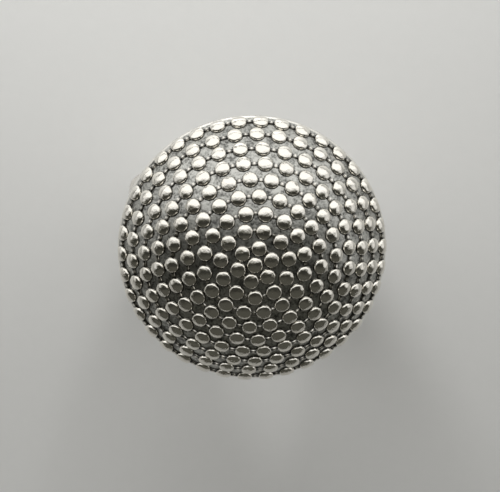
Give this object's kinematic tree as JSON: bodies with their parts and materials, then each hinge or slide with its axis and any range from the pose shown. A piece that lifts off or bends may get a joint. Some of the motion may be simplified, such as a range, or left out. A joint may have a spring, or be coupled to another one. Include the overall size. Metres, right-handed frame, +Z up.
{
  "type": "domed finger ring",
  "caption": "Finger ring with a round domed head covered in concentric rings of flattened beaded wire, soldered to a plain band.",
  "frame": {"origin": "centre of the finger hole, half way along it", "axes": "+Z up through the middle of the domed head, +Y along the finger hole, +X across the band"},
  "size_m": [0.023, 0.023, 0.0285],
  "materials": {
    "ball_silver": "polished",
    "oxidised_ground": "oxidised, satin",
    "plate_silver": "satin",
    "band_silver": "polished, worn"
  },
  "bodies": {
    "root": {"dome_shell": "oxidised_ground", "crown_ball": "ball_silver", "beaded_ring_1": "ball_silver", "beaded_ring_2": "ball_silver", "beaded_ring_3": "ball_silver", "beaded_ring_4": "ball_silver", "beaded_ring_5": "ball_silver", "beaded_ring_6": "ball_silver", "beaded_ring_7": "ball_silver", "beaded_ring_8": "ball_silver", "rim_ring": "ball_silver", "back_plate": "plate_silver", "band": "band_silver"}
  },
  "joints": []
}
